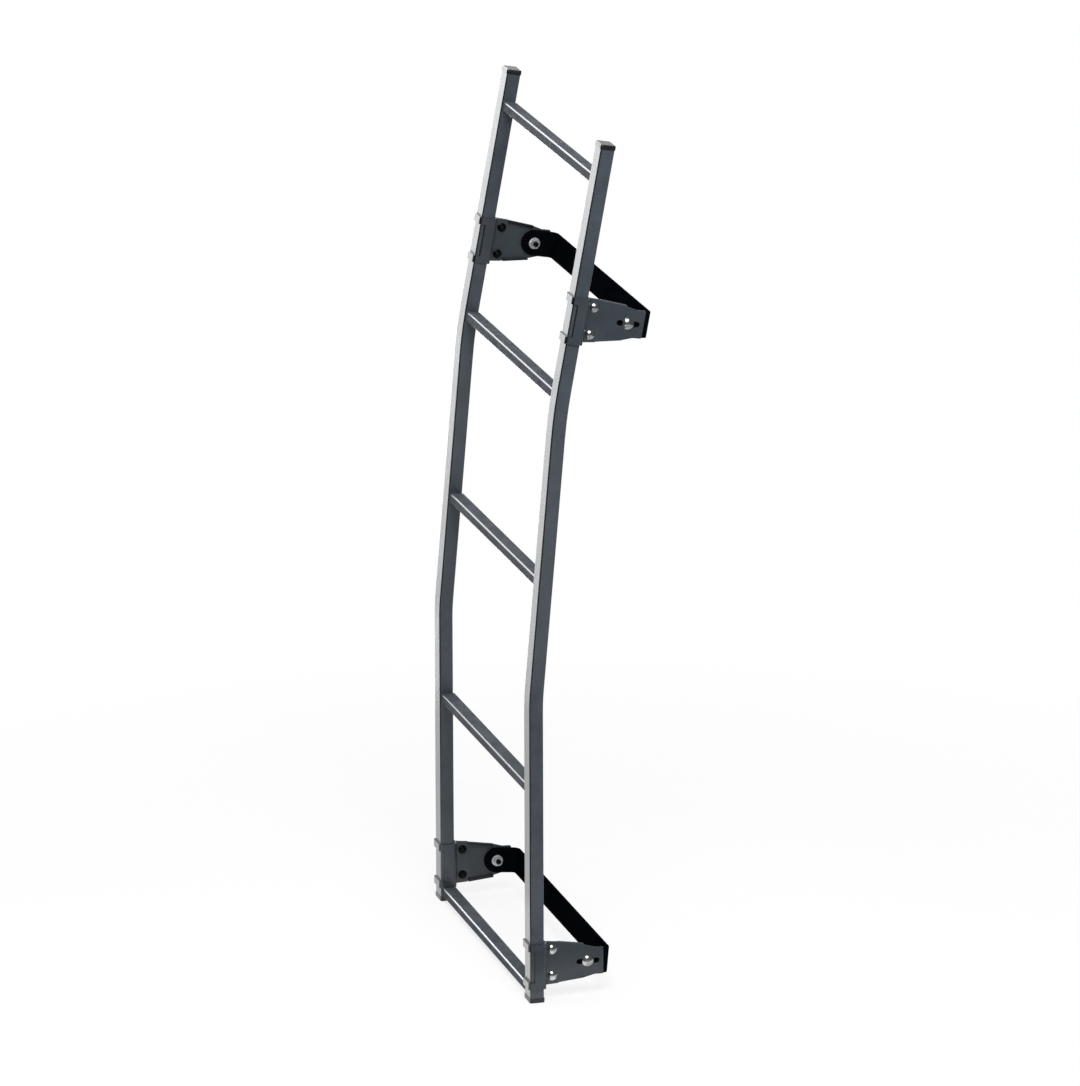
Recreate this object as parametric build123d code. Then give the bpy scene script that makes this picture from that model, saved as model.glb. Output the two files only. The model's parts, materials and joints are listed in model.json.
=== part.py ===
from build123d import *
import os
from math import cos, radians, sin

# Rear door ladder for a van: two bent tube rails, five rungs, four folded clamp brackets
# and two flat bar straps.
# All sizes are in millimetres and degrees. X runs across the ladder, +Y towards the door and +Z up.
# The origin is the middle of the lower strap's flat back, which rests against the door.

# rails, bent twice; the runs between the bends are shares of the whole length
RAIL_LENGTH = 1332.0
LOWER_RUN_SHARE = 0.3563
MIDDLE_RUN_SHARE = 0.3356
RAIL_SPACING = 520.0
RAIL_WIDTH = 32.0
RAIL_DEPTH = 22.0
RAIL_WALL = 1.5
RAIL_CORNER = 2.5
LOWER_BEND = 5.0
UPPER_BEND = 5.5
LOWER_BEND_RADIUS = 400.0
UPPER_BEND_RADIUS = 800.0

# rungs, placed by their middles: the lowest from the rail's foot, the highest from its top,
# the rest between them
RUNG_DEPTH = 22.0
RUNG_HEIGHT = 15.0
RUNG_WALL = 1.5
RUNG_CORNER = 2.5
RUNG_SETBACK = 3.0
BOTTOM_RUNG = 7.7
TOP_RUNG = 51.4
RUNG_SHARES = (0.0, 0.2514, 0.5074, 0.7365, 1.0)

# end caps of the rails
CAP_HEIGHT = 7.0
CAP_OVERHANG = 1.0
CAP_EDGE = 2.0
CAP_PLUG = 16.0
CAP_PLUG_WALL = 2.0
CAP_PLAY = 0.2

# clamp brackets, folded from sheet; the lower is placed from the rail's foot, the upper from its top,
# and reaches are counted from the rail's rear face
SHEET = 3.0
FOLD_RADIUS = 2.0
LOWER_CLAMP = 51.5
UPPER_CLAMP = 264.5
CLAMP_HEIGHT = 72.0
WINDOW_HEIGHT = 50.0
WINDOW_RETURN = 6.0
WINDOW_EDGE = 2.0
JOG_START = 2.3
JOG_END = 6.8
SHEET_GAP = 1.0
TAB_REACH = 25.0
ARM_REACH = 97.5
ARM_ROOT_HEIGHT = 68.0
ARM_TIP_HEIGHT = 43.0
ARM_TIP_LENGTH = 14.0
ARM_TIP_CORNER = 2.0
ARM_DROP = 2.3
LIP_START = 26.0
LIP_END_INSET = 30.5
LIP_WIDTH = 9.0
LIP_START_HEIGHT = 65.0
LIP_END_HEIGHT = 54.5
LIP_STEP = 1.2

# clamp bolts
CLAMP_BOLT_REACH = 16.5
CLAMP_BOLT_SPACING = 42.0
CLAMP_BOLT = 6.0
CLAMP_HEAD = 16.0
CLAMP_HEAD_HEIGHT = 4.0
CLAMP_NUT = 10.0
CLAMP_NUT_HEIGHT = 5.0

# straps and the pivot bolts that hold them in the arms' slots, placed from the arms' tips
STRAP_HEIGHT = 40.0
STRAP_THICKNESS = 5.0
STRAP_FOLD_RADIUS = 5.0
STRAP_PROUD = 11.0
STRAP_PLAY = 0.2
LOWER_STRAP_TILT = 5.0
UPPER_STRAP_TILT = 0.0
PIVOT_INSET = 24.5
SLOT_LENGTH = 36.5
PIVOT_BOLT = 8.0
PIVOT_HEAD = 19.5
PIVOT_HEAD_HEIGHT = 5.0
PIVOT_WASHER = 18.0
PIVOT_WASHER_HEIGHT = 1.6
PIVOT_NUT = 13.0
PIVOT_NUT_HEIGHT = 6.5

# shared by all bolts and nuts; the ratios are shares of a nut's width across flats
HOLE_PLAY = 0.25
CUT_MARGIN = 10.0
SEAT_PLAY = 0.1
BOLT_END = 3.0
BOLT_CHAMFER = 0.8
NUT_CORNER_RATIO = 0.57
NUT_CHAMFER_RATIO = 0.06

REAR = RAIL_DEPTH / 2
LIP_END = ARM_REACH - LIP_END_INSET
PIVOT_REACH = ARM_REACH - PIVOT_INSET
STRAP_REACH = ARM_REACH + STRAP_PROUD
SIDES = {"left": -1, "right": 1}


def rail_path():
    """Centre line of a rail in the YZ plane, from its foot to its top."""
    lower_run = RAIL_LENGTH * LOWER_RUN_SHARE
    middle_run = RAIL_LENGTH * MIDDLE_RUN_SHARE
    upper_run = RAIL_LENGTH - lower_run - middle_run
    lean = radians(LOWER_BEND)
    top_lean = radians(LOWER_BEND + UPPER_BEND)
    first = Vector(0, 0, lower_run)
    second = first + Vector(0, sin(lean), cos(lean)) * middle_run
    top = second + Vector(0, sin(top_lean), cos(top_lean)) * upper_run
    return FilletPolyline((0, 0, 0), first, second, top, radius=[LOWER_BEND_RADIUS, UPPER_BEND_RADIUS])


PATH = rail_path()


def rail_plane(distance):
    """Plane square to the rails at a distance along them: X across, Y to the door, Z up the rail."""
    return Plane(
        origin=PATH.position_at(distance, PositionMode.LENGTH),
        x_dir=(1, 0, 0),
        z_dir=PATH.tangent_at(distance, PositionMode.LENGTH),
    )


def rail():
    """Bent rectangular tube with rounded corners."""
    bore_corner = max(RAIL_CORNER - RAIL_WALL, RAIL_WALL / 2)
    section = RectangleRounded(RAIL_WIDTH, RAIL_DEPTH, RAIL_CORNER)
    section -= RectangleRounded(RAIL_WIDTH - 2 * RAIL_WALL, RAIL_DEPTH - 2 * RAIL_WALL, bore_corner)
    return sweep(section, path=PATH)


def rung():
    """Rectangular tube between the rails' inner faces, closed at its ends, about the rail's centre line."""
    length = RAIL_SPACING - RAIL_WIDTH
    bore_corner = max(RUNG_CORNER - RUNG_WALL, RUNG_WALL / 2)
    outer = extrude(Plane.YZ * RectangleRounded(RUNG_DEPTH, RUNG_HEIGHT, RUNG_CORNER), length / 2, both=True)
    bore = Plane.YZ * RectangleRounded(RUNG_DEPTH - 2 * RUNG_WALL, RUNG_HEIGHT - 2 * RUNG_WALL, bore_corner)
    tube = outer - extrude(bore, length / 2 - RUNG_WALL, both=True)
    return Pos(0, RUNG_SETBACK + RUNG_DEPTH / 2 - REAR, 0) * tube


def end_cap():
    """Moulded cap above a tube's end at Z = 0, with a hollow plug that goes down into the tube."""
    flange_size = (RAIL_WIDTH + 2 * CAP_OVERHANG, RAIL_DEPTH + 2 * CAP_OVERHANG)
    flange = extrude(RectangleRounded(*flange_size, RAIL_CORNER + CAP_OVERHANG), CAP_HEIGHT)
    flange = fillet(flange.faces().sort_by(Axis.Z)[-1].edges(), CAP_EDGE)
    inset = 2 * (RAIL_WALL + CAP_PLAY)
    plug_size = (RAIL_WIDTH - inset, RAIL_DEPTH - inset)
    plug_corner = max(RAIL_CORNER - RAIL_WALL, RAIL_WALL / 2)
    plug = RectangleRounded(*plug_size, plug_corner)
    plug -= Rectangle(plug_size[0] - 2 * CAP_PLUG_WALL, plug_size[1] - 2 * CAP_PLUG_WALL)
    return flange + extrude(plug, -CAP_PLUG)


def arm_point(reach, height):
    """Point of the arm in side view, as a (Y, Z) vector: the arm drops evenly to its pivot and beyond."""
    return Vector(REAR + reach, height - ARM_DROP * reach / PIVOT_REACH)


def lip_ends(way):
    """Outer corners of the arm's lip in side view, top lip for way 1 and bottom lip for way -1."""
    return arm_point(LIP_START, way * LIP_START_HEIGHT / 2), arm_point(LIP_END, way * LIP_END_HEIGHT / 2)


def bracket_edge(way):
    """Top (way 1) or bottom (way -1) edge of a clamp bracket in side view, from the rail to the arm's tip."""
    start, end = lip_ends(way)
    inside = Vector(0, -way * SHEET * (end - start).length / (end - start).X)
    return [
        Vector(-REAR - 2 * SHEET, way * CLAMP_HEIGHT / 2),
        Vector(REAR + JOG_START, way * CLAMP_HEIGHT / 2),
        arm_point(JOG_END, way * ARM_ROOT_HEIGHT / 2),
        start,
        start + inside,
        end + inside,
        end - Vector(0, way * LIP_STEP),
        arm_point(ARM_REACH - ARM_TIP_LENGTH, way * ARM_TIP_HEIGHT / 2),
        arm_point(ARM_REACH, way * ARM_TIP_HEIGHT / 2),
    ]


def arm_outline():
    """Side view of a clamp bracket in the YZ plane: tall round the rail, then tapering along the arm."""
    face = make_face(Polyline(*bracket_edge(1), *reversed(bracket_edge(-1)), close=True))
    return Plane.YZ * fillet(face.vertices().group_by(Axis.X)[-1], ARM_TIP_CORNER)


def lip(face_x, way):
    """Edge strip along the arm, folded inwards from the arm's outer face with a round corner."""
    start, end = lip_ends(way)
    along = end - start
    square = Plane(origin=(face_x, start.X, start.Y), x_dir=(-1, 0, 0), z_dir=(0, along.X, along.Y))
    strip = Rectangle(LIP_WIDTH, SHEET, align=(Align.MIN, Align.MAX if way > 0 else Align.MIN))
    fold = strip.vertices().sort_by_distance((0, 0, 0))[0]
    return extrude(square * fillet(fold, SHEET), along.length)


def clamp_bracket():
    """Right-hand clamp bracket about the rail's centre line: one folded sheet that wraps the rail."""
    side = RAIL_WIDTH / 2 + SHEET
    front = -REAR - SHEET
    face_x = SHEET_GAP / 2 + SHEET
    outside = FilletPolyline(
        (face_x, REAR + ARM_REACH),
        (face_x, REAR + JOG_END),
        (side, REAR + JOG_START),
        (side, front),
        (-side, front),
        (-side, REAR + JOG_START),
        (-face_x, REAR + JOG_END),
        (-face_x, REAR + TAB_REACH),
        radius=[FOLD_RADIUS] + [FOLD_RADIUS + SHEET] * 4 + [FOLD_RADIUS],
    )
    sheet = make_face(offset(outside, SHEET, side=Side.RIGHT))
    bracket = extrude(sheet, CLAMP_HEIGHT / 2, both=True)
    bracket &= extrude(arm_outline(), side + SHEET, both=True)
    bracket += lip(face_x, 1)
    bracket += lip(face_x, -1)
    across = 2 * side + CUT_MARGIN
    window_depth = SHEET + WINDOW_RETURN
    window = Box(across, window_depth, WINDOW_HEIGHT, align=(Align.CENTER, Align.MIN, Align.CENTER))
    bracket -= Pos(0, front, 0) * window
    bracket = fillet(window_edges(bracket), WINDOW_EDGE)
    slot = SlotOverall(SLOT_LENGTH, PIVOT_BOLT + 2 * HOLE_PLAY)
    bracket -= Plane.YZ * Pos(REAR + PIVOT_REACH, -ARM_DROP) * extrude(slot, side)
    for height in clamp_bolt_heights():
        hole = Cylinder(CLAMP_BOLT / 2 + HOLE_PLAY, across, rotation=(0, 90, 0))
        bracket -= Pos(0, REAR + CLAMP_BOLT_REACH, height) * hole
    return bracket


def window_edges(bracket):
    """Outer upright edges of the cheeks beside a bracket's front window."""
    side = RAIL_WIDTH / 2 + SHEET
    corners = [Vector(x, WINDOW_RETURN - REAR, 0) for x in (-side, side)]
    upright = bracket.edges().filter_by(Axis.Z)
    return [edge for edge in upright if min((edge.center() - c).length for c in corners) < WINDOW_EDGE / 2]


def clamp_bolt_heights():
    """Heights of a bracket's two clamp bolts over its middle."""
    return (-CLAMP_BOLT_SPACING / 2, CLAMP_BOLT_SPACING / 2)


def coach_bolt(head, head_height, shank, length):
    """Coach bolt on the Z axis: a domed head over Z = 0 and its shank below."""
    dome = make_face(
        [
            Line((0, 0), (head / 2, 0)),
            ThreePointArc((head / 2, 0), *dome_points(head, head_height)),
            Line((0, head_height), (0, 0)),
        ]
    )
    bolt = revolve(Plane.XZ * dome, Axis.Z)
    stem = Pos(0, 0, -length / 2) * Cylinder(shank / 2, length)
    stem = chamfer(stem.edges().sort_by(Axis.Z)[0], BOLT_CHAMFER)
    return bolt + stem


def dome_points(head, head_height):
    """Middle and top point of a dome's arc from its rim."""
    sphere = (head * head / 4 + head_height * head_height) / (2 * head_height)
    middle = head / 4
    rise = (sphere * sphere - middle * middle) ** 0.5 - (sphere - head_height)
    return (middle, rise), (0, head_height)


def hex_nut(across_flats, height, shank):
    """Hexagon nut below Z = 0 on the Z axis, with its corners turned down."""
    nut = extrude(RegularPolygon(across_flats / 2, 6, major_radius=False), -height)
    turned = Pos(0, 0, -height / 2) * Cylinder(across_flats * NUT_CORNER_RATIO, height)
    nut &= chamfer(turned.edges().group_by(Axis.Z)[0], across_flats * NUT_CHAMFER_RATIO)
    return nut - Cylinder(shank / 2 + SEAT_PLAY, 3 * height)


def washer(outer, height, shank):
    """Flat washer below Z = 0 on the Z axis."""
    ring = Pos(0, 0, -height / 2) * Cylinder(outer / 2, height)
    return ring - Cylinder(shank / 2 + HOLE_PLAY, 3 * height)


def outward(side, y, z):
    """Place for a bolt on a rail's side: its Z axis points away from the ladder's middle."""
    return Plane(origin=(side * RAIL_SPACING / 2, y, z), x_dir=(0, 1, 0), z_dir=(side, 0, 0))


def strap():
    """Flat bar bent to a U about its pivot axis, with a round end and a hole in each leg."""
    reach = STRAP_REACH - PIVOT_REACH
    leg_x = RAIL_SPACING / 2 + SHEET_GAP / 2 - STRAP_PLAY
    end = STRAP_HEIGHT / 2
    outside = FilletPolyline(
        (leg_x, -end),
        (leg_x, reach),
        (-leg_x, reach),
        (-leg_x, -end),
        radius=STRAP_FOLD_RADIUS + STRAP_THICKNESS,
    )
    bar = extrude(make_face(offset(outside, STRAP_THICKNESS, side=Side.LEFT)), STRAP_HEIGHT / 2, both=True)
    leg = Circle(end) + Rectangle(reach, STRAP_HEIGHT, align=(Align.MIN, Align.CENTER))
    bar &= extrude(Plane.YZ * leg, leg_x, both=True)
    return bar - Cylinder(PIVOT_BOLT / 2 + HOLE_PLAY, 3 * leg_x, rotation=(0, 90, 0))


def clamp_fasteners(side):
    """Clamp bolts and nuts of one bracket about the ladder's middle, by name."""
    face_x = SHEET_GAP / 2 + SHEET
    grip = 2 * face_x + 2 * SEAT_PLAY
    length = grip + CLAMP_NUT_HEIGHT + BOLT_END
    bolt = Pos(0, 0, face_x + SEAT_PLAY) * coach_bolt(CLAMP_HEAD, CLAMP_HEAD_HEIGHT, CLAMP_BOLT, length)
    nut = Pos(0, 0, -face_x - SEAT_PLAY) * hex_nut(CLAMP_NUT, CLAMP_NUT_HEIGHT, CLAMP_BOLT)
    pieces = {}
    for end, height in zip(("bottom", "top"), clamp_bolt_heights()):
        place = outward(side, REAR + CLAMP_BOLT_REACH, height)
        pieces[f"clamp_bolt_{end}"] = place * bolt
        pieces[f"clamp_nut_{end}"] = place * nut
    return pieces


def pivot_fasteners(side):
    """Pivot bolt, washer and nut of one strap leg about the pivot axis, by name."""
    face_x = SHEET_GAP / 2 + SHEET + SEAT_PLAY
    washer_x = SHEET_GAP / 2 - STRAP_PLAY - STRAP_THICKNESS - SEAT_PLAY
    nut_x = washer_x - PIVOT_WASHER_HEIGHT - SEAT_PLAY
    length = face_x - nut_x + PIVOT_NUT_HEIGHT + BOLT_END
    bolt = coach_bolt(PIVOT_HEAD, PIVOT_HEAD_HEIGHT, PIVOT_BOLT, length)
    ring = washer(PIVOT_WASHER, PIVOT_WASHER_HEIGHT, PIVOT_BOLT)
    nut = hex_nut(PIVOT_NUT, PIVOT_NUT_HEIGHT, PIVOT_BOLT)
    place = outward(side, 0, 0)
    return {
        "pivot_bolt": place * Pos(0, 0, face_x) * bolt,
        "pivot_washer": place * Pos(0, 0, washer_x) * ring,
        "pivot_nut": place * Pos(0, 0, nut_x) * nut,
    }


def rails_and_rungs():
    """Rails, caps and rungs by name."""
    pieces = {}
    tube = rail()
    cap = end_cap()
    foot = rail_plane(0).location * Rot(180, 0, 0)
    top = rail_plane(PATH.length).location
    for name, side in SIDES.items():
        across = Pos(side * RAIL_SPACING / 2, 0, 0)
        pieces[f"{name}_rail"] = across * tube
        pieces[f"{name}_foot_cap"] = across * foot * cap
        pieces[f"{name}_top_cap"] = across * top * cap
    tread = rung()
    climb = PATH.length - TOP_RUNG - BOTTOM_RUNG
    for number, share in enumerate(RUNG_SHARES, start=1):
        pieces[f"rung_{number}"] = rail_plane(BOTTOM_RUNG + share * climb).location * tread
    return pieces


def fixing(level, distance, tilt, turned_over):
    """Clamp brackets, strap and fasteners at one height, by name; the arms rise if turned over."""
    pieces = {}
    height = rail_plane(distance).location
    pivot = height * Pos(0, REAR + PIVOT_REACH, ARM_DROP if turned_over else -ARM_DROP)
    bracket = clamp_bracket()
    if turned_over:
        bracket = mirror(bracket, about=Plane.XY)
    brackets = {"right": bracket, "left": mirror(bracket, about=Plane.YZ)}
    for name, side in SIDES.items():
        across = Pos(side * RAIL_SPACING / 2, 0, 0)
        pieces[f"{level}_{name}_clamp"] = height * across * brackets[name]
        for part_name, piece in clamp_fasteners(side).items():
            pieces[f"{level}_{name}_{part_name}"] = height * piece
        for part_name, piece in pivot_fasteners(side).items():
            pieces[f"{level}_{name}_{part_name}"] = pivot * piece
    pieces[f"{level}_strap"] = pivot * Rot(-tilt, 0, 0) * strap()
    return pieces


def door_face():
    """Middle of the lower strap's back, where the ladder meets the door."""
    pivot = rail_plane(LOWER_CLAMP).location * Pos(0, REAR + PIVOT_REACH, -ARM_DROP)
    back = pivot * Rot(-LOWER_STRAP_TILT, 0, 0) * Pos(0, STRAP_REACH - PIVOT_REACH, 0)
    return back.position


pieces = rails_and_rungs()
pieces.update(fixing("lower", LOWER_CLAMP, LOWER_STRAP_TILT, turned_over=False))
pieces.update(fixing("upper", PATH.length - UPPER_CLAMP, UPPER_STRAP_TILT, turned_over=True))
to_origin = Pos(-door_face())
os.makedirs("parts", exist_ok=True)
for node, piece in pieces.items():
    export_step(to_origin * piece, f"parts/{node}.step")
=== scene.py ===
"""Looks of a van rear door ladder: finishes, threaded bolts, flanged nuts, stage and camera."""
import json
import logging
import math
from dataclasses import dataclass, replace
from enum import Enum

import bpy
from mathutils import Matrix, Vector


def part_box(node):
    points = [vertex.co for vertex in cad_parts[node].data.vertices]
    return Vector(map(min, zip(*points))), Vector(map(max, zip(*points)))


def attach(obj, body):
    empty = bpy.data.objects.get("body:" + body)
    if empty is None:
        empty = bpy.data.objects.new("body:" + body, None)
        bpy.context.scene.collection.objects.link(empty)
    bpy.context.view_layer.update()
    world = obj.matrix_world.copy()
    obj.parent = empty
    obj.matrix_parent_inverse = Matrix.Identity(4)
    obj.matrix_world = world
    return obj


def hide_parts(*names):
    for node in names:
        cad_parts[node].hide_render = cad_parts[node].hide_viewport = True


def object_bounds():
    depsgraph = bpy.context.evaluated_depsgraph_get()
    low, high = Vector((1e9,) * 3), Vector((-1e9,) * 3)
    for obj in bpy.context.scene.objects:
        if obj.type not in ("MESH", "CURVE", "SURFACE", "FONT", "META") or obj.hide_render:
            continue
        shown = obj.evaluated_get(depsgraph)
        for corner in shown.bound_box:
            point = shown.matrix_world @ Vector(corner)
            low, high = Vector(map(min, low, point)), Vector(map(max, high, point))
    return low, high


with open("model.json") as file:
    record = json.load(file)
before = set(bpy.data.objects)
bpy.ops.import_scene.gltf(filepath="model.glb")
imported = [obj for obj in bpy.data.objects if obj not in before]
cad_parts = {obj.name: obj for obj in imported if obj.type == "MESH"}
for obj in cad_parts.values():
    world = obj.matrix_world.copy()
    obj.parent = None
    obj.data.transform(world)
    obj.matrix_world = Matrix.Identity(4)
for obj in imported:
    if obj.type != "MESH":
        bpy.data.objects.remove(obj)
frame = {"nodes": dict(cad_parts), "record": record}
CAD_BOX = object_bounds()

LOG = logging.getLogger("door_ladder")
MM = 0.001
# Most of a noise texture's values lie between these two.
NOISE_LOW, NOISE_HIGH = 0.3, 0.7
# A Mix node's two colour inputs and its colour output.
MIX_A, MIX_B, MIX_COLOUR = 6, 7, 2
# A face whose upright direction is below this is a bottom face.
FACING_DOWN = -0.9
# Steps of a thread's profile: across as a share of its depth, along as a share of its pitch.
THREAD_PROFILE = ((0.0, 0.2), (1.0, 0.33), (0.0, 0.14), (-1.0, 0.33))
# Heights of the floor and of two layers of cards that lie on it.
FLOOR = CAD_BOX[0][2]
FLOOR_CARD = FLOOR + 2 * MM
UPPER_FLOOR_CARD = FLOOR + 3 * MM


class Side(Enum):
    """Side of the ladder, as the sign of X on it."""

    LEFT = -1
    RIGHT = 1


class Level(Enum):
    """Height of a pair of clamp brackets and their strap."""

    LOWER = "lower"
    UPPER = "upper"


class Joining(Enum):
    """What a Boolean keeps of two meshes."""

    UNION = "UNION"
    DIFFERENCE = "DIFFERENCE"
    INTERSECT = "INTERSECT"


class CardPose(Enum):
    """How a reflection card stands, as its turn about X, Y and Z."""

    LYING = (0.0, 0.0, 0.0)
    ACROSS_X = (math.pi / 2, 0.0, math.pi / 2)
    ACROSS_Y = (math.pi / 2, 0.0, 0.0)


def linear(hex_colour: str) -> tuple[float, float, float, float]:
    """Turn an sRGB hex colour into linear light.

    Args:
        hex_colour: Colour as #RRGGBB.

    Returns:
        Red, green, blue and an alpha of 1.
    """
    values = [int(hex_colour[i:i + 2], 16) / 255 for i in (1, 3, 5)]
    red, green, blue = (v / 12.92 if v <= 0.04045 else ((v + 0.055) / 1.055) ** 2.4 for v in values)
    return red, green, blue, 1.0


def per_mm(size_mm: float) -> float:
    """Texture scale, in cycles a metre, of a pattern that repeats every size_mm."""
    return 1.0 / (size_mm * MM)


def add(tree: bpy.types.NodeTree, kind: str, settings: dict | None = None,
        links: dict | None = None) -> bpy.types.Node:
    """Add a shader node with its settings and links.

    Args:
        tree: Node tree that takes the node.
        kind: Node type, such as ShaderNodeTexNoise.
        settings: Property names or input names and indexes, with their values.
        links: Input names or indexes, with the output socket that feeds each.

    Returns:
        The new node.
    """
    node = tree.nodes.new(kind)
    for key, value in (settings or {}).items():
        if isinstance(key, str) and hasattr(node, key):
            setattr(node, key, value)
        else:
            node.inputs[key].default_value = value
    for key, socket in (links or {}).items():
        tree.links.new(socket, node.inputs[key])
    return node


def empty_material(name: str) -> bpy.types.Material:
    """Make a material that has no nodes yet.

    Args:
        name: Name of the real material, or of the light.

    Returns:
        The material.
    """
    material = bpy.data.materials.new(name)
    material.use_nodes = True
    material.node_tree.nodes.clear()
    return material


def finish_material(
        name: str, settings: dict) -> tuple[bpy.types.Material, bpy.types.NodeTree, bpy.types.Node]:
    """Make a material with a principled shader.

    Args:
        name: Name of the real material.
        settings: Shader inputs that are the same all over the surface.

    Returns:
        The material, its node tree and the shader.
    """
    material = empty_material(name)
    tree = material.node_tree
    shader = add(tree, "ShaderNodeBsdfPrincipled", settings)
    add(tree, "ShaderNodeOutputMaterial", links={"Surface": shader.outputs[0]})
    return material, tree, shader


def direction(tree: bpy.types.NodeTree) -> bpy.types.Node:
    """Node with the X, Y and Z of the way that the surface faces."""
    geometry = add(tree, "ShaderNodeNewGeometry")
    return add(tree, "ShaderNodeSeparateXYZ", links={0: geometry.outputs["True Normal"]})


def facing(tree: bpy.types.NodeTree, axes: str) -> bpy.types.NodeSocket:
    """How squarely the surface faces the nearest of some axes.

    Args:
        tree: Node tree that takes the nodes.
        axes: One or two axis letters.

    Returns:
        A socket that is 1 where the surface looks straight along one of them.
    """
    normal = direction(tree)
    sides = [add(tree, "ShaderNodeMath", {"operation": "ABSOLUTE"}, {0: normal.outputs[axis]})
             for axis in axes]
    nearest = add(tree, "ShaderNodeMath", {"operation": "MAXIMUM"},
                  {0: sides[0].outputs[0], 1: sides[-1].outputs[0]})
    return nearest.outputs[0]


@dataclass(frozen=True)
class Paint:
    """Paint, powder coat or plastic: a dark colour, mottled a little, with a fine grain."""

    name: str
    dark: str
    light: str
    mottle_mm: float
    grain_mm: float
    grain_depth_mm: float
    smooth: float
    rough: float
    specular: float
    # How much the grain adds to the mottle, and the sum up to which the colour stays dark.
    grain_share: float = 0.45
    dark_up_to: float = 0.45
    # Colour of the painted shade on the front's upright corners. They are found by the product of
    # how much the surface faces X and Y: where the painted shade starts, and where it is darkest.
    corner: str | None = None
    painted_shade_start: float = -0.216
    painted_shade_full: float = -0.36
    # Colour of the brackets' cut edges, how far they lie to each side of the ladder's middle,
    # the play in that, and how squarely such an edge has to face X.
    cut_edge: str | None = None
    cut_edge_mm: float = 254.5
    cut_edge_band_mm: float = 0.4
    cut_edge_square: float = 0.9

    def shade_edges(self, tree: bpy.types.NodeTree,
                    colour: bpy.types.NodeSocket) -> bpy.types.NodeSocket:
        """Paint shade on the front's upright corners as a darker colour, and darken the lips' cut
        edges.

        Args:
            tree: Node tree that takes the nodes.
            colour: Colour of the flat faces.

        Returns:
            The colour's socket.
        """
        if self.corner:
            # Painted shade: the corners between the front and the sides take the darker corner
            # colour.
            turned = add(tree, "ShaderNodeMath", {"operation": "MULTIPLY"},
                         {0: facing(tree, "X"), 1: direction(tree).outputs["Y"]})
            share = add(tree, "ShaderNodeMapRange",
                        {"From Min": self.painted_shade_start, "From Max": self.painted_shade_full},
                        {"Value": turned.outputs[0]})
            mixed = add(tree, "ShaderNodeMix", {"data_type": "RGBA", MIX_B: linear(self.corner)},
                        {0: share.outputs[0], MIX_A: colour})
            colour = mixed.outputs[MIX_COLOUR]
        if self.cut_edge:
            place = add(tree, "ShaderNodeSeparateXYZ",
                        links={0: add(tree, "ShaderNodeTexCoord").outputs["Object"]})
            across = add(tree, "ShaderNodeMath", {"operation": "ABSOLUTE"}, {0: place.outputs["X"]})
            edge = add(tree, "ShaderNodeMath",
                       {"operation": "COMPARE", 1: self.cut_edge_mm * MM,
                        2: self.cut_edge_band_mm * MM}, {0: across.outputs[0]})
            square = add(tree, "ShaderNodeMath",
                         {"operation": "GREATER_THAN", 1: self.cut_edge_square},
                         {0: facing(tree, "X")})
            share = add(tree, "ShaderNodeMath", {"operation": "MULTIPLY"},
                        {0: edge.outputs[0], 1: square.outputs[0]})
            mixed = add(tree, "ShaderNodeMix", {"data_type": "RGBA", MIX_B: linear(self.cut_edge)},
                        {0: share.outputs[0], MIX_A: colour})
            colour = mixed.outputs[MIX_COLOUR]
        return colour

    def material(self) -> bpy.types.Material:
        """Build the paint's material.

        Returns:
            The material.
        """
        material, tree, shader = finish_material(self.name, {"Specular IOR Level": self.specular})
        place = add(tree, "ShaderNodeTexCoord").outputs["Object"]
        mottle = add(tree, "ShaderNodeTexNoise",
                     {"Scale": per_mm(self.mottle_mm), "Detail": 4.0, "Roughness": 0.6},
                     {"Vector": place})
        grain = add(tree, "ShaderNodeTexNoise",
                    {"Scale": per_mm(self.grain_mm), "Detail": 3.0, "Roughness": 0.55},
                    {"Vector": place})
        speck = add(tree, "ShaderNodeMath", {"operation": "MULTIPLY_ADD", 1: self.grain_share},
                    {0: grain.outputs["Fac"], 2: mottle.outputs["Fac"]})
        share = add(tree, "ShaderNodeMapRange", {"From Min": self.dark_up_to},
                    {"Value": speck.outputs[0]})
        colour = add(tree, "ShaderNodeMix",
                     {"data_type": "RGBA", MIX_A: linear(self.dark), MIX_B: linear(self.light)},
                     {0: share.outputs[0]})
        gloss = add(tree, "ShaderNodeMapRange",
                    {"From Min": NOISE_LOW, "From Max": NOISE_HIGH, "To Min": self.smooth,
                     "To Max": self.rough}, {"Value": mottle.outputs["Fac"]})
        bump = add(tree, "ShaderNodeBump",
                   {"Strength": 1.0, "Distance": self.grain_depth_mm * MM},
                   {"Height": grain.outputs["Fac"]})
        shaded = self.shade_edges(tree, colour.outputs[MIX_COLOUR])
        tree.links.new(shaded, shader.inputs["Base Color"])
        tree.links.new(gloss.outputs[0], shader.inputs["Roughness"])
        tree.links.new(bump.outputs[0], shader.inputs["Normal"])
        return material


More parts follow.
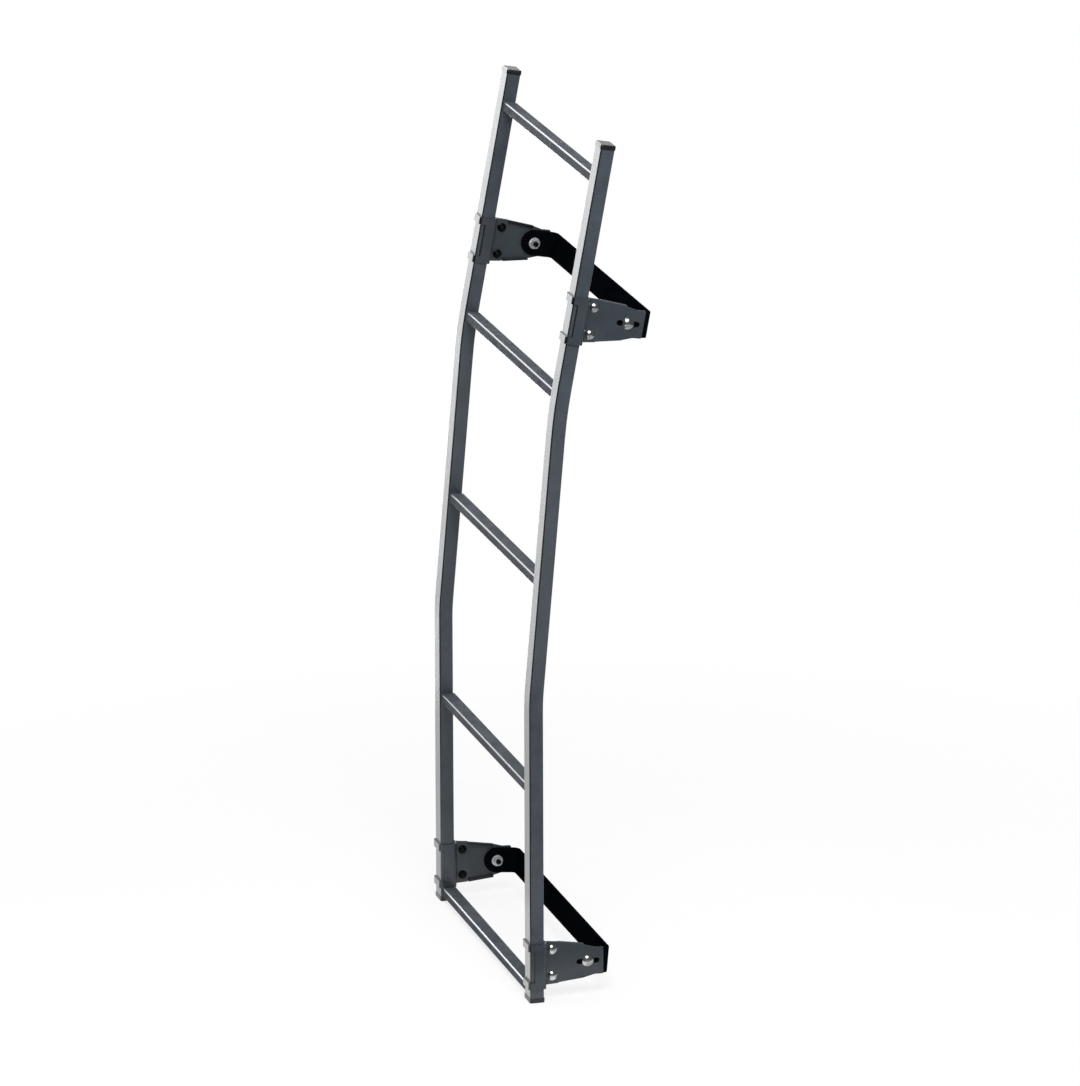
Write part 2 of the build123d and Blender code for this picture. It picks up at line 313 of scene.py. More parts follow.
@dataclass(frozen=True)
class GritCoat:
    """Gritty coat on a rung's flat faces, with the rounded edges smooth and glossy."""

    name: str
    dark: str
    light: str
    grit_mm: float
    grit_depth_mm: float
    patch_mm: float
    edge_gloss: float
    flat_gloss: float
    edge_specular: float
    flat_specular: float
    edge_colour: str
    edge_metal: float = 0.0
    # How much the grit adds to the patches, and the sum up to which the colour stays dark.
    grit_share: float = 0.7
    dark_up_to: float = 0.6
    # How squarely a face looks along Y or Z where it is still flat, and where it is all edge.
    flat_facing: float = 0.978
    edge_facing: float = 0.95
    # What is left of the grit on the edges.
    edge_grit: float = 0.03

    def edges(self, tree: bpy.types.NodeTree) -> bpy.types.NodeSocket:
        """Factor that is 1 on the rung's long rounded edges and 0 on its flat faces.

        Args:
            tree: Node tree that takes the nodes.

        Returns:
            The factor's socket.
        """
        edge = add(tree, "ShaderNodeMapRange",
                   {"From Min": self.flat_facing, "From Max": self.edge_facing},
                   {"Value": facing(tree, "YZ")})
        return edge.outputs[0]

    def material(self) -> bpy.types.Material:
        """Build the coat's material.

        Returns:
            The material.
        """
        material, tree, shader = finish_material(self.name, {})
        place = add(tree, "ShaderNodeTexCoord").outputs["Object"]
        edge = self.edges(tree)
        grit = add(tree, "ShaderNodeTexNoise",
                   {"Scale": per_mm(self.grit_mm), "Detail": 3.0, "Roughness": 0.7},
                   {"Vector": place})
        patch = add(tree, "ShaderNodeTexNoise",
                    {"Scale": per_mm(self.patch_mm), "Detail": 4.0, "Roughness": 0.6},
                    {"Vector": place})
        speck = add(tree, "ShaderNodeMath", {"operation": "MULTIPLY_ADD", 1: self.grit_share},
                    {0: grit.outputs["Fac"], 2: patch.outputs["Fac"]})
        share = add(tree, "ShaderNodeMapRange", {"From Min": self.dark_up_to},
                    {"Value": speck.outputs[0]})
        flat = add(tree, "ShaderNodeMix",
                   {"data_type": "RGBA", MIX_A: linear(self.dark), MIX_B: linear(self.light)},
                   {0: share.outputs[0]})
        colour = add(tree, "ShaderNodeMix",
                     {"data_type": "RGBA", MIX_B: linear(self.edge_colour)},
                     {0: edge, MIX_A: flat.outputs[MIX_COLOUR]})
        gloss = add(tree, "ShaderNodeMapRange",
                    {"To Min": self.flat_gloss, "To Max": self.edge_gloss}, {"Value": edge})
        shine = add(tree, "ShaderNodeMapRange",
                    {"To Min": self.flat_specular, "To Max": self.edge_specular}, {"Value": edge})
        rough = add(tree, "ShaderNodeMapRange", {"To Min": 1.0, "To Max": self.edge_grit},
                    {"Value": edge})
        bump = add(tree, "ShaderNodeBump", {"Distance": self.grit_depth_mm * MM},
                   {"Strength": rough.outputs[0], "Height": grit.outputs["Fac"]})
        if self.edge_metal:
            metal = add(tree, "ShaderNodeMapRange", {"To Max": self.edge_metal}, {"Value": edge})
            tree.links.new(metal.outputs[0], shader.inputs["Metallic"])
        tree.links.new(colour.outputs[MIX_COLOUR], shader.inputs["Base Color"])
        tree.links.new(gloss.outputs[0], shader.inputs["Roughness"])
        tree.links.new(shine.outputs[0], shader.inputs["Specular IOR Level"])
        tree.links.new(bump.outputs[0], shader.inputs["Normal"])
        return material


@dataclass(frozen=True)
class Plating:
    """Plated steel: a metal colour with faint cloudy stains and fine turning marks."""

    name: str
    dark: str
    light: str
    cloud_mm: float
    mark_mm: float
    smooth: float
    rough: float
    mark_depth_mm: float = 0.02
    mark_strength: float = 0.5

    def material(self) -> bpy.types.Material:
        """Build the plating's material.

        Returns:
            The material.
        """
        material, tree, shader = finish_material(self.name, {"Metallic": 1.0})
        place = add(tree, "ShaderNodeTexCoord").outputs["Object"]
        cloud = add(tree, "ShaderNodeTexNoise",
                    {"Scale": per_mm(self.cloud_mm), "Detail": 5.0, "Roughness": 0.65},
                    {"Vector": place})
        mark = add(tree, "ShaderNodeTexNoise",
                   {"Scale": per_mm(self.mark_mm), "Detail": 2.0, "Roughness": 0.5},
                   {"Vector": place})
        share = add(tree, "ShaderNodeMapRange", {"From Min": NOISE_LOW, "From Max": NOISE_HIGH},
                    {"Value": cloud.outputs["Fac"]})
        colour = add(tree, "ShaderNodeMix",
                     {"data_type": "RGBA", MIX_A: linear(self.dark), MIX_B: linear(self.light)},
                     {0: share.outputs[0]})
        gloss = add(tree, "ShaderNodeMapRange", {"To Min": self.smooth, "To Max": self.rough},
                    {"Value": share.outputs[0]})
        bump = add(tree, "ShaderNodeBump",
                   {"Strength": self.mark_strength, "Distance": self.mark_depth_mm * MM},
                   {"Height": mark.outputs["Fac"]})
        tree.links.new(colour.outputs[MIX_COLOUR], shader.inputs["Base Color"])
        tree.links.new(gloss.outputs[0], shader.inputs["Roughness"])
        tree.links.new(bump.outputs[0], shader.inputs["Normal"])
        return material


# Sprayed graphite paint on drawn steel tube: dark and bluish, glossy, with a faint orange peel.
# Its upright front corners take painted shade: a thin dark line beside the bright front face.
RAIL_PAINT = Paint(
    name="graphite_gloss_paint_on_steel_tube", dark="#32383E", light="#41484F",
    mottle_mm=60.0, grain_mm=2.2, grain_depth_mm=0.009, smooth=0.18, rough=0.25, specular=0.5,
    corner="#16191C")
# Textured graphite powder coat: matt and gritty, with edges that shine as a thin bright line.
# Real grit is finer, and this is drawn coarse enough to show.
RUNG_COAT = GritCoat(
    name="graphite_textured_powder_coat", dark="#3D4146", light="#53585F",
    grit_mm=1.4, grit_depth_mm=0.08, patch_mm=25.0, edge_gloss=0.22, flat_gloss=0.8,
    edge_specular=1.0, flat_specular=0.04, edge_colour="#4A4F55")
# The same coat on the lowest rung, with a painted highlight on its edges: a pale, half-metal edge
# colour that draws a wider and whiter line.
PAINTED_HIGHLIGHT_COAT = replace(RUNG_COAT, name="worn_graphite_textured_powder_coat",
                    edge_colour="#A4A9AE", edge_metal=0.5)
# Satin graphite powder coat on folded sheet: darker than the rails, with painted shade on its
# folds and corners, and dark edges.
BRACKET_COAT = Paint(
    name="graphite_satin_powder_coat_on_sheet", dark="#2C3238", light="#363D43",
    mottle_mm=60.0, grain_mm=1.8, grain_depth_mm=0.008, smooth=0.2, rough=0.24, specular=0.5,
    corner="#0E1012", cut_edge="#0C0D0F")
# Flat black paint on flat bar: it takes nearly all the light.
STRAP_PAINT = Paint(
    name="flat_black_paint_on_flat_bar", dark="#040508", light="#090A0E",
    mottle_mm=30.0, grain_mm=1.8, grain_depth_mm=0.05, smooth=0.75, rough=0.85, specular=0.0)
# Moulded black polypropylene: even and slightly waxy. Its moulded grain is drawn coarser to show.
CAP_PLASTIC = Paint(
    name="black_moulded_polypropylene", dark="#101112", light="#1B1C1E",
    mottle_mm=12.0, grain_mm=0.9, grain_depth_mm=0.03, smooth=0.24, rough=0.32, specular=0.5)
# Black zinc plate on the clamps' nuts: a dark metal with dull highlights. The turning marks of
# this and the next three are drawn coarser than real ones, to show.
NUT_BLACK = Plating(
    name="black_zinc_plate", dark="#121315", light="#202226",
    cloud_mm=5.0, mark_mm=0.5, smooth=0.3, rough=0.42)
# Dark colour on the bolts' threaded ends: nearly black, with a dull shine on the crests.
THREAD_DARK = Plating(
    name="dark_thread_lock_on_steel", dark="#17181A", light="#2B2C2E",
    cloud_mm=3.0, mark_mm=0.4, smooth=0.4, rough=0.55)
# Bright zinc plate on the bolts: a neutral silver that mirrors the studio, with faint clouds.
BOLT_ZINC = Plating(
    name="bright_zinc_plate", dark="#B4B6B8", light="#DADBDC",
    cloud_mm=6.0, mark_mm=0.5, smooth=0.12, rough=0.24)
# Satin zinc plate on the pivots' nuts and washers: paler and duller than the bolts.
NUT_ZINC = Plating(
    name="satin_zinc_plate", dark="#D0D2D5", light="#EDEEF0",
    cloud_mm=6.0, mark_mm=0.5, smooth=0.36, rough=0.5)


def dress(node: str, material: bpy.types.Material) -> None:
    """Give a CAD node its finish.

    Args:
        node: Name of the CAD node.
        material: Finish that covers all of it.
    """
    mesh = frame["nodes"][node].data
    mesh.materials.clear()
    mesh.materials.append(material)
    LOG.info("dressed %s in %s", node, material.name)


def add_cylinder(sides: int, radius: float, depth: float, middle: float = 0.0) -> bpy.types.Object:
    """Add a cylinder along Z, the only object that is selected.

    Args:
        sides: Number of its sides.
        radius: Its radius.
        depth: Its length.
        middle: Height of its middle.

    Returns:
        The cylinder.
    """
    bpy.ops.object.select_all(action="DESELECT")
    bpy.ops.mesh.primitive_cylinder_add(vertices=sides, radius=radius, depth=depth,
                                        location=(0.0, 0.0, middle))
    return bpy.context.object


def begin(name: str, selected: bool = True) -> None:
    """Name the new primitive and go into edit mode on it.

    Args:
        name: Name of the primitive.
        selected: Whether all of it is selected, or nothing.
    """
    bpy.context.object.name = name
    bpy.ops.object.mode_set(mode="EDIT")
    bpy.ops.mesh.select_all(action="SELECT" if selected else "DESELECT")


def only(piece: bpy.types.Object) -> None:
    """Make a piece the only one that is selected, and the active one.

    Args:
        piece: The piece.
    """
    bpy.ops.object.select_all(action="DESELECT")
    piece.select_set(True)
    bpy.context.view_layer.objects.active = piece


def combine(piece: bpy.types.Object, other: bpy.types.Object, joining: Joining) -> None:
    """Apply a Boolean with another object, which is used up.

    Args:
        piece: Object that stays.
        other: Object that is joined, cut out or kept in common.
        joining: What is kept of the two.
    """
    only(piece)
    boolean = piece.modifiers.new("boolean", "BOOLEAN")
    boolean.operation = joining.value
    boolean.solver = "EXACT"
    boolean.material_mode = "TRANSFER"
    boolean.object = other
    bpy.ops.object.modifier_apply(modifier=boolean.name)
    bpy.data.objects.remove(other)


def fit_copy(pattern: bpy.types.Object, node: str, depth: float, suffix: str,
             turn: float = 0.0) -> bpy.types.Object:
    """Put a copy of a fastener in the place of a CAD node.

    Args:
        pattern: Fastener along Z in mm, its seat at the origin and its outer end up.
        node: CAD node that the copy replaces.
        depth: Distance of the seat from the node's outer end, in mm.
        suffix: What the copy's name adds to the node's.
        turn: Turn about the fastener's axis.

    Returns:
        The copy, in its place.
    """
    low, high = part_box(node)
    side = Side.RIGHT if "_right_" in node else Side.LEFT
    outer = high[0] if side is Side.RIGHT else low[0]
    piece = pattern.copy()
    piece.data = pattern.data.copy()
    piece.name = node + suffix
    bpy.context.scene.collection.objects.link(piece)
    only(piece)
    piece.rotation_euler = (0.0, 0.0, turn)
    bpy.ops.object.transform_apply(location=False, rotation=True, scale=False)
    piece.location = (outer - side.value * depth * MM, (low[1] + high[1]) / 2,
                      (low[2] + high[2]) / 2)
    piece.rotation_euler = (0.0, side.value * math.pi / 2, 0.0)
    piece.scale = (MM, MM, MM)
    bpy.ops.object.transform_apply(location=True, rotation=True, scale=True)
    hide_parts(node)
    LOG.info("fitted %s", piece.name)
    return piece


@dataclass
class FlangeNut:
    """Hexagon nut with a flange under it, modelled once in mm along Z and copied to its nodes."""

    flats: float = 10.0
    height: float = 5.0
    flange: float = 14.0
    flange_rim: float = 0.9
    flange_rise: float = 0.9
    bore: float = 6.2
    chamfer: float = 0.7
    sides: int = 48
    turn_step: float = math.radians(17.0)
    smooth_angle: float = math.radians(30.0)

    def turn_flange(self) -> bpy.types.Object:
        """Make the flange, with a sloping inner face.

        Returns:
            The flange below the origin along Z.
        """
        flange = add_cylinder(self.sides, self.flange / 2, self.flange_rim, -self.flange_rim / 2)
        bpy.ops.object.transform_apply(location=True)
        begin("flange_nut", selected=False)
        bpy.ops.object.mode_set(mode="OBJECT")
        for face in flange.data.polygons:
            face.select = face.normal.z < FACING_DOWN
        bpy.ops.object.mode_set(mode="EDIT")
        bpy.ops.mesh.extrude_region_move(
            TRANSFORM_OT_translate={"value": (0.0, 0.0, -self.flange_rise)})
        shrink = self.flats / self.flange
        bpy.ops.transform.resize(value=(shrink, shrink, 1.0),
                                 center_override=(0.0, 0.0, -self.flange_rim - self.flange_rise))
        bpy.ops.object.mode_set(mode="OBJECT")
        return flange

    def turn_hexagon(self) -> bpy.types.Object:
        """Make the hexagon, its inner end turned to a chamfer.

        Returns:
            The hexagon below the origin along Z.
        """
        corner = self.flats / math.sqrt(3.0)
        hexagon = add_cylinder(6, corner, self.height, -self.height / 2)
        turned = add_cylinder(self.sides, corner, self.height, -self.height / 2)
        begin("turned_end", selected=False)
        bpy.ops.object.mode_set(mode="OBJECT")
        corners = turned.data.vertices
        for edge in turned.data.edges:
            edge.select = all(corners[index].co.z < 0.0 for index in edge.vertices)
        bpy.ops.object.mode_set(mode="EDIT")
        bpy.ops.mesh.bevel(offset=self.chamfer, segments=1, affect="EDGES")
        bpy.ops.object.mode_set(mode="OBJECT")
        combine(hexagon, turned, Joining.INTERSECT)
        return hexagon

    def model(self, plating: bpy.types.Material) -> bpy.types.Object:
        """Model the whole nut.

        Args:
            plating: Finish of the nut.

        Returns:
            The nut below the origin along Z, in mm.
        """
        nut = self.turn_flange()
        combine(nut, self.turn_hexagon(), Joining.UNION)
        drill_length = 4 * self.height
        combine(nut, add_cylinder(self.sides, self.bore / 2, drill_length), Joining.DIFFERENCE)
        nut.data.materials.clear()
        nut.data.materials.append(plating)
        bpy.ops.object.shade_smooth_by_angle(angle=self.smooth_angle)
        return nut

    def fit(self, plating: bpy.types.Material) -> None:
        """Put a copy in the place of each CAD clamp nut, each turned a little further.

        Args:
            plating: Finish of the nuts.
        """
        pattern = self.model(plating)
        nodes = sorted(name for name in frame["nodes"] if "_clamp_nut_" in name)
        for number, node in enumerate(nodes):
            piece = fit_copy(pattern, node, 0.0, "_flanged", number * self.turn_step)
            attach(piece, "ladder")
        bpy.data.objects.remove(pattern)


@dataclass
class CoachBolt:
    """Coach bolt with a domed head and a rolled thread, modelled once in mm along Z and copied."""

    kind: str
    head: float
    head_height: float
    shank: float
    length: float
    pitch: float
    thread: float
    sides: int = 40
    dome_rings: int = 8
    rim: float = 0.25
    # Share of the rim between the dome's first ring and the head's full width.
    rim_round: float = 0.2
    # How far the thread runs into the shank.
    overlap: float = 0.6
    # Depth of the thread as a share of its pitch.
    thread_depth: float = 0.61
    # Turns that the sweep starts below the bolt's end, and turns more than the run needs.
    early_turns: float = 1.5
    spare_turns: int = 2
    smooth_angle: float = math.radians(35.0)

    def dome_rise(self, radius: float) -> float:
        """Height of the dome's surface over the seat at a radius from its axis."""
        sphere = (self.head ** 2 / 4 + self.head_height ** 2) / (2 * self.head_height)
        return math.sqrt(sphere ** 2 - radius ** 2) - (sphere - self.head_height)

    def outline(self) -> list[tuple[float, float]]:
        """Draw the body's rings, from the thread's run-out to the dome's top.

        Returns:
            Radius and height of each ring.
        """
        edge = self.head / 2
        shoulder = edge - self.rim_round * self.rim
        rings = [(self.shank / 2, self.thread - self.length), (self.shank / 2, 0.0),
                 (edge - self.rim, 0.0), (shoulder, self.dome_rise(shoulder))]
        for ring in range(1, self.dome_rings):
            radius = edge * math.cos(0.5 * math.pi * ring / self.dome_rings)
            rings.append((radius, self.dome_rise(radius)))
        return rings

    def turn_body(self) -> bpy.types.Object:
        """Draw the head and the plain shank ring by ring.

        Returns:
            The closed body.
        """
        rings = self.outline()
        bpy.ops.object.select_all(action="DESELECT")
        bpy.ops.mesh.primitive_circle_add(vertices=self.sides, radius=rings[0][0],
                                          fill_type="NGON", location=(0.0, 0.0, rings[0][1]))
        bpy.ops.object.transform_apply(location=True)
        begin(self.kind)
        for (radius, height), (next_radius, next_height) in zip(rings, rings[1:]):
            bpy.ops.mesh.extrude_region_move(
                TRANSFORM_OT_translate={"value": (0.0, 0.0, next_height - height)})
            grow = next_radius / radius
            bpy.ops.transform.resize(value=(grow, grow, 1.0),
                                     center_override=(0.0, 0.0, next_height))
        bpy.ops.mesh.extrude_region_move(
            TRANSFORM_OT_translate={"value": (0.0, 0.0, self.head_height - rings[-1][1])})
        bpy.ops.mesh.merge(type="CENTER")
        bpy.ops.mesh.select_all(action="SELECT")
        bpy.ops.mesh.normals_make_consistent(inside=False)
        bpy.ops.object.mode_set(mode="OBJECT")
        return bpy.context.object

    def draw_profile(self, bottom: float) -> bpy.types.Object:
        """Draw one turn of the thread's profile as a line of edges.

        Args:
            bottom: Height of the bolt's end.

        Returns:
            The profile.
        """
        depth = self.thread_depth * self.pitch
        bpy.ops.object.select_all(action="DESELECT")
        # A small plane is merged to the point that the profile starts from.
        bpy.ops.mesh.primitive_plane_add(size=0.1)
        begin(self.kind + "_thread")
        bpy.ops.mesh.merge(type="CENTER")
        bpy.ops.transform.translate(
            value=(self.shank / 2 - depth, 0.0, bottom - self.early_turns * self.pitch))
        for across, along in THREAD_PROFILE:
            bpy.ops.mesh.extrude_region_move(
                TRANSFORM_OT_translate={"value": (across * depth, 0.0, along * self.pitch)})
        bpy.ops.object.mode_set(mode="OBJECT")
        return bpy.context.object

    def roll_thread(self) -> bpy.types.Object:
        """Sweep one turn's profile round the axis and cut the run square at both ends.

        Returns:
            The closed threaded run.
        """
        top, bottom = self.thread - self.length + self.overlap, -self.length
        run = self.draw_profile(bottom)
        screw = run.modifiers.new("screw", "SCREW")
        screw.axis = "Z"
        screw.angle = 2 * math.pi
        screw.screw_offset = self.pitch
        screw.iterations = math.ceil((top - bottom) / self.pitch) + self.spare_turns
        screw.steps = screw.render_steps = self.sides
        screw.use_merge_vertices = True
        screw.merge_threshold = 0.001
        bpy.ops.object.modifier_apply(modifier=screw.name)
        bpy.ops.object.mode_set(mode="EDIT")
        for height, above in ((bottom, False), (top, True)):
            bpy.ops.mesh.select_all(action="SELECT")
            bpy.ops.mesh.bisect(plane_co=(0.0, 0.0, height), plane_no=(0.0, 0.0, 1.0),
                                use_fill=True, clear_inner=not above, clear_outer=above,
                                threshold=0.0001)
        bpy.ops.mesh.select_all(action="SELECT")
        bpy.ops.mesh.normals_make_consistent(inside=False)
        bpy.ops.object.mode_set(mode="OBJECT")
        return run

    def model(self, plating: bpy.types.Material, thread: bpy.types.Material) -> bpy.types.Object:
        """Model the whole bolt.

        Args:
            plating: Finish of the head and the plain shank.
            thread: Finish of the threaded run.

        Returns:
            The bolt along Z, its seat at the origin, in mm.
        """
        body = self.turn_body()
        body.data.materials.append(plating)
        run = self.roll_thread()
        run.data.materials.append(thread)
        combine(body, run, Joining.UNION)
        bpy.ops.object.shade_smooth_by_angle(angle=self.smooth_angle)
        return body

    def fit(self, plating: bpy.types.Material, thread: bpy.types.Material) -> None:
        """Put a copy in the place of each CAD bolt of this kind.

        Args:
            plating: Finish of the head and the plain shank.
            thread: Finish of the threaded run.
        """
        pattern = self.model(plating, thread)
        for node in sorted(name for name in frame["nodes"] if self.kind in name):
            piece = fit_copy(pattern, node, self.head_height, "_threaded")
            level = Level(node.split("_")[0])
            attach(piece, level.value + "_pivots" if "pivot" in self.kind else "ladder")
        bpy.data.objects.remove(pattern)


class Ladder:
    """The welded and clamped ladder: it gives each CAD node its finish."""

    def dress(self) -> None:
        """Dress all the CAD nodes by their record slot, and put in the bolts and flanged nuts."""
        finishes = {
            "rail": RAIL_PAINT.material(),
            "rung": RUNG_COAT.material(),
            "bracket": BRACKET_COAT.material(),
            "strap": STRAP_PAINT.material(),
            "bolt": BOLT_ZINC.material(),
            "clamp_nut": NUT_BLACK.material(),
            "cap": CAP_PLASTIC.material(),
        }
        satin = NUT_ZINC.material()
        for part in frame["record"]["subparts"]:
            node = part["node"]
            pale = node.endswith(("pivot_nut", "pivot_washer"))
            dress(node, satin if pale else finishes[part["material_slot"]])
        # The lowest rung's pale edge colour is a painted highlight.
        dress("rung_1", PAINTED_HIGHLIGHT_COAT.material())
        FlangeNut().fit(finishes["clamp_nut"])
        thread = THREAD_DARK.material()
        clamp_bolt = CoachBolt(kind="clamp_bolt", head=16.0, head_height=4.0, shank=6.0,
                               length=15.2, pitch=1.0, thread=10.0)
        clamp_bolt.fit(finishes["bolt"], thread)
        pivot_bolt = CoachBolt(kind="pivot_bolt", head=19.5, head_height=5.0, shank=8.0,
                               length=19.6, pitch=1.25, thread=13.0)
        pivot_bolt.fit(finishes["bolt"], thread)


@dataclass(frozen=True)
class Lamp:
    """Round soft box, with its place and width in metres and its power in watts."""

    name: str
    place: tuple[float, float, float]
    size: float
    power: float

    def hang(self, aim: tuple[float, float, float]) -> None:
        """Add the lamp.

        Args:
            aim: Point that it faces.
        """
        data = bpy.data.lights.new(self.name, "AREA")
        data.shape = "DISK"
        data.size = self.size
        data.energy = self.power
        lamp = bpy.data.objects.new(self.name, data)
        bpy.context.scene.collection.objects.link(lamp)
        lamp.location = self.place
        way = Vector(aim) - Vector(self.place)
        lamp.rotation_euler = way.to_track_quat("-Z", "Y").to_euler()


@dataclass(frozen=True)
class Card:
    """Card that only reflections see.

    Its middle is in metres, and so are its width and height, or its X and Y where it lies.
    Its glow is the light at its lower and upper edge, where 1 is white.
    """

    name: str
    middle: tuple[float, float, float]
    size: tuple[float, float]
    glow: tuple[float, float]
    pose: CardPose = CardPose.ACROSS_X

    def put_up(self) -> None:
        """Add the card."""
        bpy.ops.object.select_all(action="DESELECT")
        bpy.ops.mesh.primitive_plane_add(size=1.0, location=self.middle, rotation=self.pose.value)
        card = bpy.context.object
        card.name = self.name
        card.scale = (*self.size, 1.0)
        material = empty_material(self.name + "_light")
        tree = material.node_tree
        place = add(tree, "ShaderNodeSeparateXYZ",
                    links={0: add(tree, "ShaderNodeTexCoord").outputs["Object"]})
        level = add(tree, "ShaderNodeMapRange",
                    {"From Min": -0.5, "From Max": 0.5,
                     "To Min": self.glow[0], "To Max": self.glow[1]},
                    {"Value": place.outputs["Y"]})
        light = add(tree, "ShaderNodeEmission", links={"Strength": level.outputs[0]})
        add(tree, "ShaderNodeOutputMaterial", links={"Surface": light.outputs[0]})
        card.data.materials.append(material)
        card.visible_camera = card.visible_diffuse = False
        card.visible_shadow = card.visible_transmission = False


LAMPS = (
    Lamp("key_soft_box", (2.3, -0.4, 3.2), 1.8, 105.0),
    Lamp("top_soft_box", (-0.4, -0.6, 3.2), 2.4, 22.0),
)
CARDS = (
    # Beyond the ladder: bright for the rails' front faces and the rungs' edges, dark behind them.
    Card("near_front_card", (-1.3, -0.75, 0.95), (0.5, 2.0), (1.9, 4.8)),
    Card("far_front_card", (-1.3, -0.4, 0.95), (0.2, 2.0), (1.2, 4.2)),
    Card("upper_line_card", (-1.3, 0.0, 1.45), (0.6, 1.4), (6.7, 4.5)),
    Card("lower_line_card", (-1.3, -0.11, 0.35), (0.38, 0.8), (8.0, 6.7)),
    Card("far_dark_card", (-1.3, 0.75, 0.72), (0.9, 1.26), (0.1, 0.1)),
    Card("low_dark_card", (-1.3, 0.19, 0.35), (0.22, 0.8), (0.1, 0.1)),
    # Round the camera's side: dark, so that the rails' and brackets' sides keep their colour.
    Card("near_dark_card", (3.1, 0.4, 2.05), (5.0, 4.2), (0.12, 0.12)),
    Card("front_dark_card", (1.05, -1.6, 2.05), (4.1, 4.2), (0.1, 0.1), CardPose.ACROSS_Y),
    Card("rear_dark_card", (1.2, 1.7, 2.05), (3.8, 4.2), (0.1, 0.1), CardPose.ACROSS_Y),
    Card("ceiling_card", (1.0, 0.0, 4.2), (6.0, 5.0), (0.15, 0.15), CardPose.LYING),
    # On the floor: bright before the rails, dark beside them, and pale where the bolts look.
    Card("left_floor_card", (-0.5, -0.5, FLOOR_CARD), (1.6, 0.73), (1.45, 1.45), CardPose.LYING),
    Card("near_floor_card", (0.05, -0.27, UPPER_FLOOR_CARD), (0.5, 0.27), (1.85, 1.85),
         CardPose.LYING),
    Card("right_floor_card", (1.3, 0.4, FLOOR_CARD), (1.76, 2.0), (0.15, 0.15), CardPose.LYING),
    Card("bolt_floor_card", (0.82, 0.0, UPPER_FLOOR_CARD), (0.4, 0.9), (0.8, 0.8),
         CardPose.LYING),
    Card("upper_bolt_card", (1.25, 0.62, UPPER_FLOOR_CARD), (0.9, 0.5), (0.75, 0.75),
         CardPose.LYING),
    Card("front_floor_card", (0.475, -1.01, UPPER_FLOOR_CARD), (1.65, 1.18), (0.15, 0.15),
         CardPose.LYING),
    Card("rear_floor_card", (-0.1, 0.25, FLOOR_CARD), (0.9, 0.6), (0.55, 0.55), CardPose.LYING),
)


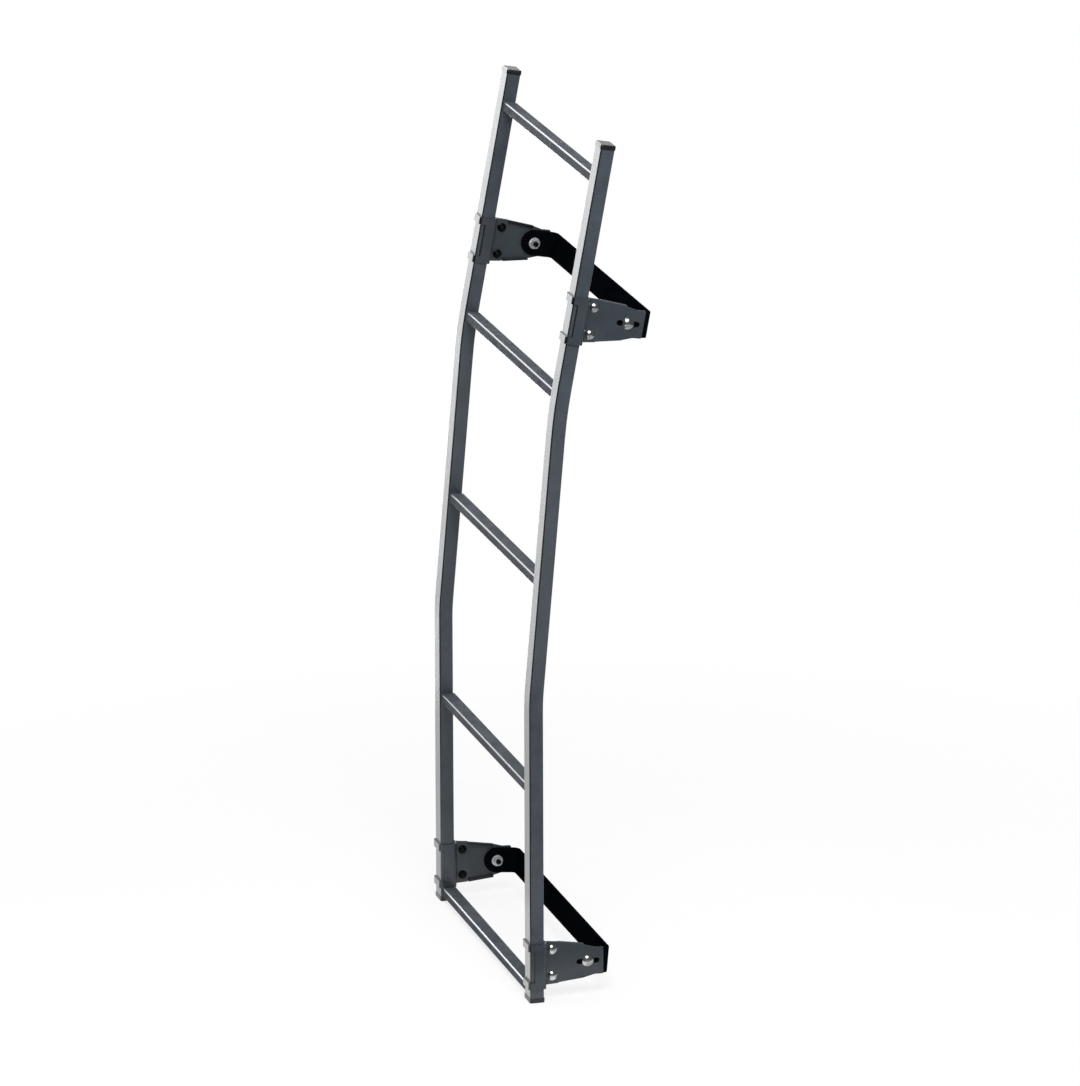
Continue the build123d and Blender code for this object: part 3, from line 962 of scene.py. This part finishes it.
@dataclass
class Stage:
    """Pale floor, white surroundings, lamps, reflection cards and the camera."""

    azimuth: float = 74.264
    elevation: float = 15.967
    roll: float = -0.188
    lens_mm: float = 301.575
    sensor_mm: float = 36.0
    distance: float = 14.0625
    view_depth: float = 100.0
    aim_right: float = 0.0896315
    aim_up: float = 0.630601
    lamp_aim: tuple[float, float, float] = (0.0, -0.05, 0.6)
    # Light that the white surroundings give to matt surfaces.
    soft_light: float = 0.48
    floor_size: float = 12.0
    floor_colour: str = "#F4F4F4"
    # Share of plain white near the ladder, and the distances at which it starts to rise and is 1.
    floor_white: float = 0.8
    white_from: float = 0.7
    white_to: float = 1.6

    def view_axes(self) -> tuple[Vector, Vector, Vector]:
        """Work out the way that the camera looks.

        Returns:
            Right, up and back directions of the camera.
        """
        azimuth, elevation = math.radians(self.azimuth), math.radians(self.elevation)
        back = Vector((math.sin(azimuth) * math.cos(elevation),
                       -math.cos(azimuth) * math.cos(elevation), math.sin(elevation)))
        right = Vector((math.cos(azimuth), math.sin(azimuth), 0.0))
        turn = Matrix.Rotation(math.radians(self.roll), 3, back)
        return turn @ right, turn @ back.cross(right), back

    def place_camera(self) -> None:
        """Add the camera at the photograph's viewing angle."""
        right, up, back = self.view_axes()
        data = bpy.data.cameras.new("photo_camera")
        data.sensor_fit = "HORIZONTAL"
        data.sensor_width = self.sensor_mm
        data.lens = self.lens_mm
        data.clip_end = self.view_depth
        camera = bpy.data.objects.new("photo_camera", data)
        bpy.context.scene.collection.objects.link(camera)
        foot = Vector((0.0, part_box("right_rail")[0][1], FLOOR))
        aim = foot + right * self.aim_right + up * self.aim_up
        turn = Matrix((right, up, back)).transposed().to_4x4()
        camera.matrix_world = Matrix.Translation(aim + back * self.distance) @ turn
        bpy.context.scene.camera = camera

    def seen_directly(self, tree: bpy.types.NodeTree) -> bpy.types.NodeSocket:
        """Factor that is 1 for camera, glossy and transmission rays.

        Args:
            tree: Node tree that takes the nodes.

        Returns:
            The factor's socket.
        """
        path = add(tree, "ShaderNodeLightPath")
        first = add(tree, "ShaderNodeMath", {"operation": "MAXIMUM"},
                    {0: path.outputs["Is Camera Ray"], 1: path.outputs["Is Glossy Ray"]})
        second = add(tree, "ShaderNodeMath", {"operation": "MAXIMUM"},
                     {0: first.outputs[0], 1: path.outputs["Is Transmission Ray"]})
        return second.outputs[0]

    def lay_floor(self) -> None:
        """Add the pale floor under the feet, white where the camera and reflections see it."""
        bpy.ops.object.select_all(action="DESELECT")
        bpy.ops.mesh.primitive_plane_add(size=self.floor_size, location=(0.0, 0.0, FLOOR))
        floor = bpy.context.object
        floor.name = "floor"
        material = empty_material("pale_studio_floor")
        tree = material.node_tree
        matt = add(tree, "ShaderNodeBsdfDiffuse", {"Color": linear(self.floor_colour)})
        white = add(tree, "ShaderNodeEmission", {"Color": linear("#FFFFFF"), "Strength": 1.0})
        away = add(tree, "ShaderNodeVectorMath", {"operation": "LENGTH"},
                   {0: add(tree, "ShaderNodeTexCoord").outputs["Object"]})
        share = add(tree, "ShaderNodeMapRange",
                    {"From Min": self.white_from, "From Max": self.white_to,
                     "To Min": self.floor_white, "To Max": 1.0}, {"Value": away.outputs["Value"]})
        seen = add(tree, "ShaderNodeMath", {"operation": "MULTIPLY"},
                   {0: self.seen_directly(tree), 1: share.outputs[0]})
        mix = add(tree, "ShaderNodeMixShader",
                  links={0: seen.outputs[0], 1: matt.outputs[0], 2: white.outputs[0]})
        add(tree, "ShaderNodeOutputMaterial", links={"Surface": mix.outputs[0]})
        floor.data.materials.append(material)

    def light_world(self) -> None:
        """White surroundings for the eye and reflections, with a softer light for matt surfaces."""
        world = bpy.data.worlds.new("white_studio")
        bpy.context.scene.world = world
        world.use_nodes = True
        tree = world.node_tree
        tree.nodes.clear()
        soft = add(tree, "ShaderNodeBackground",
                   {"Color": linear("#FFFFFF"), "Strength": self.soft_light})
        white = add(tree, "ShaderNodeBackground", {"Color": linear("#FFFFFF"), "Strength": 1.0})
        mix = add(tree, "ShaderNodeMixShader",
                  links={0: self.seen_directly(tree), 1: soft.outputs[0], 2: white.outputs[0]})
        add(tree, "ShaderNodeOutputWorld", links={"Surface": mix.outputs[0]})

    def build(self) -> None:
        """Set up the whole stage: camera, floor, surroundings, lamps and cards."""
        bpy.context.scene.view_settings.view_transform = "Standard"
        self.place_camera()
        self.lay_floor()
        self.light_world()
        for lamp in LAMPS:
            lamp.hang(self.lamp_aim)
        for card in CARDS:
            card.put_up()


def main() -> None:
    """Build the classes in order."""
    logging.basicConfig(level=logging.INFO, format="%(name)s: %(message)s")
    Ladder().dress()
    Stage().build()


if __name__ == "__main__":
    main()
